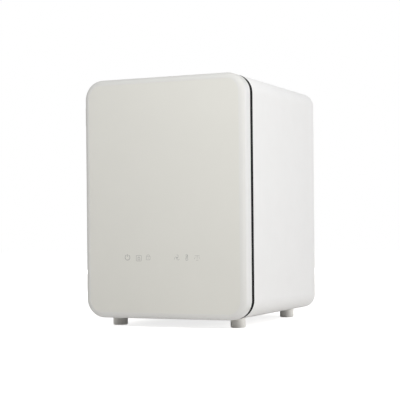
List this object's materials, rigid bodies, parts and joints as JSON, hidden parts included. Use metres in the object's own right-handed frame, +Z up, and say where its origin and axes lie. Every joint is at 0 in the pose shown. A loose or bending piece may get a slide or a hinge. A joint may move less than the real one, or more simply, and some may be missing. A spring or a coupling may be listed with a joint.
{
  "type": "baby bottle sterilizer",
  "caption": "Front-opening cabinet that sterilizes baby bottles with ultraviolet lamps and dries them with filtered warm air.",
  "frame": {"origin": "on the floor under the middle of the cabinet, at the centre of the bounding box's bottom face", "axes": "+Z up, +X to the right seen from the door, +Y from the door to the rear cover"},
  "size_m": [0.3, 0.369, 0.428],
  "materials": {
    "case_white": "satin white moulded plastic",
    "door_white": "satin white moulded plastic",
    "panel_warm": "warm pearl lacquer, satin",
    "frame_black": "black moulded plastic, fine texture",
    "liner_white": "white moulded plastic",
    "gasket_black": "black silicone",
    "stainless": "bright drawn stainless steel",
    "wire_steel": "electropolished stainless steel",
    "reflector": "polished aluminium",
    "lamp_glass": "clear quartz tube",
    "cap_metal": "satin",
    "socket_white": "white moulded plastic",
    "foot_grey": "light grey rubber",
    "zinc_steel": "zinc plated sheet",
    "screw_steel": "nickel plated",
    "fan_black": "black glass-filled plastic",
    "bronze": "sintered bronze",
    "bush_white": "acetal",
    "board_green": "solder mask",
    "pad_white": "translucent sensing pad",
    "magnet_nickel": "nickel plated magnet",
    "heater_fins": "aluminium fins on ceramic bars",
    "grey_plastic": "light grey moulded plastic",
    "filter_white": "pleated filter paper"
  },
  "bodies": {
    "root": {"outer_case": "case_white", "rear_cover": "case_white", "rear_cover_screws": "screw_steel", "front_frame": "frame_black", "chamber_liner": "stainless", "drip_tray": "stainless", "air_grille": "stainless", "air_duct": "grey_plastic", "ptc_heater": "heater_fins", "thermal_cutout": "frame_black", "fan_housing": "fan_black", "fan_bearing": "bronze", "filter_housing": "grey_plastic", "power_inlet": "frame_black", "inlet_pins": "cap_metal", "board_standoffs": "grey_plastic", "main_board": "board_green", "power_board": "board_green", "chassis_plate": "zinc_steel", "liner_supports": "zinc_steel", "lamp_ballast": "zinc_steel", "temperature_sensor": "socket_white", "reed_switch": "frame_black", "hinge_pins": "screw_steel", "strike_plates": "zinc_steel", "foot_front_left": "foot_grey", "foot_front_right": "foot_grey", "foot_rear_left": "foot_grey", "foot_rear_right": "foot_grey", "foot_screws": "screw_steel", "lower_hinge_bracket": "zinc_steel", "upper_hinge_bracket": "zinc_steel", "hinge_screws": "screw_steel", "lamp_end_caps": "cap_metal", "lower_rack": "wire_steel", "lower_rack_rail_left": "stainless", "lower_rack_rail_right": "stainless", "upper_rack": "wire_steel", "upper_rack_rail_left": "stainless", "upper_rack_rail_right": "stainless", "upper_lamp_tube": "lamp_glass", "upper_lamp_reflector": "reflector", "upper_lamp_guard": "wire_steel", "upper_lamp_sockets": "socket_white", "rear_lamp_tube": "lamp_glass", "rear_lamp_reflector": "reflector", "rear_lamp_guard": "wire_steel", "rear_lamp_sockets": "socket_white"},
    "door": {"door_frame": "door_white", "door_front_panel": "panel_warm", "door_inner_panel": "liner_white", "door_gasket": "gasket_black", "door_screws": "screw_steel", "touch_board": "board_green", "touch_key_pads": "pad_white", "hinge_bushes": "bush_white", "door_magnets": "magnet_nickel"},
    "fan_rotor": {"fan_impeller": "fan_black"},
    "filter_drawer": {"filter_tray": "case_white", "filter_media": "filter_white"}
  },
  "joints": [
    {"name": "door_hinge", "type": "hinge", "parent": "root", "child": "door", "pos_m": [-0.144, -0.1619, 0.2218], "axis": [0, 0, -1], "range_deg": [0, 110]},
    {"name": "fan_spin", "type": "hinge", "parent": "root", "child": "fan_rotor", "pos_m": [0, 0.15, 0.136], "axis": [0, 1, 0], "continuous": true},
    {"name": "filter_slide", "type": "slide", "parent": "root", "child": "filter_drawer", "axis": [0, 1, 0], "range_m": [0, 0.08]}
  ]
}
